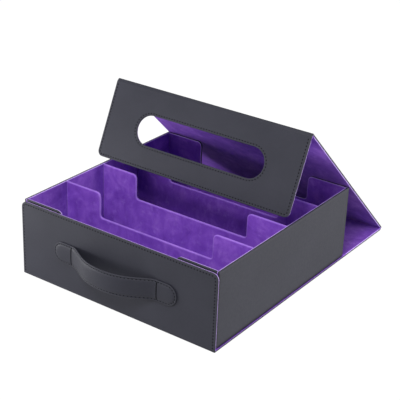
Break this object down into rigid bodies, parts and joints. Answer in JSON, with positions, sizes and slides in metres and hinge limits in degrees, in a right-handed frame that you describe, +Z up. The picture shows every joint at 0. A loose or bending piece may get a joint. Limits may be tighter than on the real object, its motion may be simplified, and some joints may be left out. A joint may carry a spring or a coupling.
{
  "type": "card storage box",
  "caption": "Leatherette card storage box with suede-lined rows between scooped dividers, a folding front flap with a strap handle and a wrap-over lid with a window for it.",
  "frame": {"origin": "underside of the bottom panel, below the middle of the tray", "axes": "+Z up, +X to the right seen from the front flap, +Y towards the back panel"},
  "size_m": [0.345, 0.5001, 0.246],
  "materials": {
    "leatherette": "fine-grained charcoal leatherette",
    "suede": "napped purple microsuede",
    "greyboard": "pressed greyboard",
    "webbing": "woven stiffener",
    "magnet": "nickel plated"
  },
  "bodies": {
    "tray": {"left_wall_cover": "leatherette", "left_wall_board": "greyboard", "left_wall_lining": "suede", "right_wall_cover": "leatherette", "right_wall_board": "greyboard", "right_wall_lining": "suede", "front_wall_cover": "leatherette", "front_wall_board": "greyboard", "front_wall_lining": "suede", "back_wall_cover": "leatherette", "back_wall_board": "greyboard", "back_wall_lining": "suede", "divider_1_sleeve": "suede", "divider_1_board": "greyboard", "divider_2_sleeve": "suede", "divider_2_board": "greyboard", "divider_3_sleeve": "suede", "divider_3_board": "greyboard", "floor_board": "greyboard", "row_mat_1": "suede", "row_mat_2": "suede", "row_mat_3": "suede", "row_mat_4": "suede", "bottom_panel_cover": "leatherette", "bottom_panel_board": "greyboard", "bottom_panel_lining": "suede", "front_fold_cover": "leatherette", "front_fold_lining": "suede", "rear_lower_fold_cover": "leatherette", "rear_lower_fold_lining": "suede", "tray_magnet_left": "magnet", "tray_magnet_right": "magnet"},
    "front_flap": {"front_flap_cover": "leatherette", "front_flap_board": "greyboard", "front_flap_lining": "suede", "handle_strap": "leatherette", "handle_core": "webbing", "handle_backing": "leatherette", "flap_magnet_left": "magnet", "flap_magnet_right": "magnet"},
    "back_panel": {"back_panel_cover": "leatherette", "back_panel_board": "greyboard", "back_panel_lining": "suede"},
    "top_panel": {"rear_upper_fold_cover": "leatherette", "rear_upper_fold_lining": "suede", "top_panel_cover": "leatherette", "top_panel_board": "greyboard", "top_panel_lining": "suede"},
    "lid_fold": {"lid_fold_cover": "leatherette", "lid_fold_lining": "suede"},
    "lid_flap": {"lid_flap_cover": "leatherette", "lid_flap_board": "greyboard", "lid_flap_lining": "suede", "lid_magnet_left": "magnet", "lid_magnet_right": "magnet"}
  },
  "joints": [
    {"name": "front_flap_fold", "type": "hinge", "parent": "tray", "child": "front_flap", "pos_m": [0, -0.17365, 0.00175], "axis": [1, 0, 0], "range_deg": [0, 86]},
    {"name": "back_panel_lift", "type": "hinge", "parent": "tray", "child": "back_panel", "pos_m": [0, 0.17315, 0.00175], "axis": [1, 0, 0], "range_deg": [0, 90]},
    {"name": "top_panel_fold", "type": "hinge", "parent": "back_panel", "child": "top_panel", "pos_m": [0, 0.29185, 0.00175], "axis": [-1, 0, 0], "range_deg": [0, 46.5]},
    {"name": "lid_fold_crease", "type": "hinge", "parent": "top_panel", "child": "lid_fold", "pos_m": [0, 0.04246, 0.24425], "axis": [-1, 0, 0], "range_deg": [0, 82.1]},
    {"name": "lid_flap_fold", "type": "hinge", "parent": "lid_fold", "child": "lid_flap", "pos_m": [0, 0.03959, 0.24176], "axis": [-1, 0, 0], "range_deg": [-62.4, 109.5]}
  ],
  "couplings": [
    {"joint": "top_panel_fold", "follows": "back_panel_lift", "ratio": 0.51586},
    {"joint": "lid_fold_crease", "follows": "back_panel_lift", "ratio": 0.91111}
  ]
}
